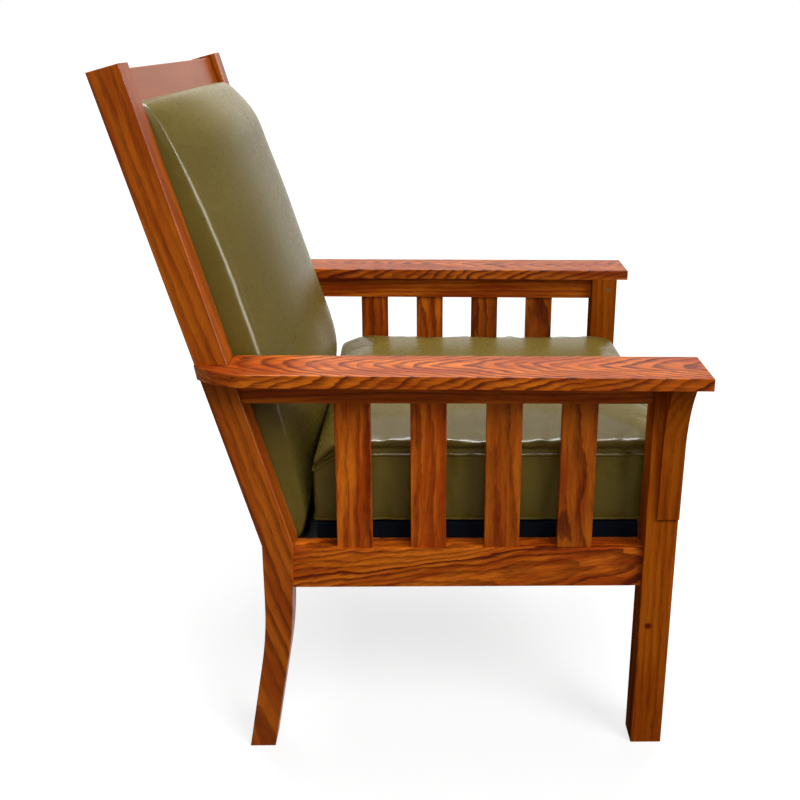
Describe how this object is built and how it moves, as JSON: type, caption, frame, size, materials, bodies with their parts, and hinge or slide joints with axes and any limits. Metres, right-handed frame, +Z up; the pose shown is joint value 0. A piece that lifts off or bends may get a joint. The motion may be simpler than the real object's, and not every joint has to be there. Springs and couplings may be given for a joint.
{
  "type": "armchair",
  "caption": "Mission-style oak armchair with a raked back, slatted sides and flat arms on corbels, with loose leather seat and back cushions on a webbed deck.",
  "frame": {"origin": "on the floor, under the middle of the chair's bounding box", "axes": "+Z up; the chair faces -Y; +X is the sitter's left-hand side"},
  "size_m": [0.788, 0.805, 0.998],
  "materials": {
    "oak": "satin lacquer over a warm brown stain, grain filled",
    "inner_wood": "plain sawn, unfinished",
    "leather": "glossy, lightly creased",
    "deck_cloth": "matt woven",
    "webbing": "jute weave",
    "screws": "zinc plated"
  },
  "bodies": {
    "frame": {"arm_left": "oak", "arm_right": "oak", "arm_screws": "screws", "back_slat_1": "oak", "back_slat_2": "oak", "back_slat_3": "oak", "back_slat_4": "oak", "back_slat_5": "oak", "corbel_left": "oak", "corbel_right": "oak", "corbel_screws": "screws", "crest_rail": "oak", "cross_webbing": "webbing", "deck_back": "inner_wood", "deck_cover": "deck_cloth", "deck_front": "inner_wood", "deck_side_left": "inner_wood", "deck_side_right": "inner_wood", "front_corner_block_left": "inner_wood", "front_corner_block_right": "inner_wood", "front_ledger": "inner_wood", "front_leg_left": "oak", "front_leg_right": "oak", "front_seat_rail": "oak", "ledger_screws": "screws", "long_webbing": "webbing", "lower_back_rail": "oak", "rear_corner_block_left": "inner_wood", "rear_corner_block_right": "inner_wood", "rear_ledger": "inner_wood", "rear_post_left": "oak", "rear_post_right": "oak", "rear_seat_rail": "oak", "seat_side_rail_left": "oak", "seat_side_rail_right": "oak", "side_ledger_left": "inner_wood", "side_ledger_right": "inner_wood", "side_slat_1_left": "oak", "side_slat_1_right": "oak", "side_slat_2_left": "oak", "side_slat_2_right": "oak", "side_slat_3_left": "oak", "side_slat_3_right": "oak", "side_slat_4_left": "oak", "side_slat_4_right": "oak", "upper_side_rail_left": "oak", "upper_side_rail_right": "oak"},
    "seat_cushion": {"seat_cushion": "leather"},
    "back_cushion": {"back_cushion": "leather"}
  },
  "joints": [
    {"name": "seat_cushion_slide", "type": "slide", "parent": "frame", "child": "seat_cushion", "axis": [0, -1, 0], "range_m": [0, 0.45]},
    {"name": "back_cushion_slide", "type": "slide", "parent": "frame", "child": "back_cushion", "axis": [0, 0.2756, 0.9613], "range_m": [0, 0.35]}
  ]
}
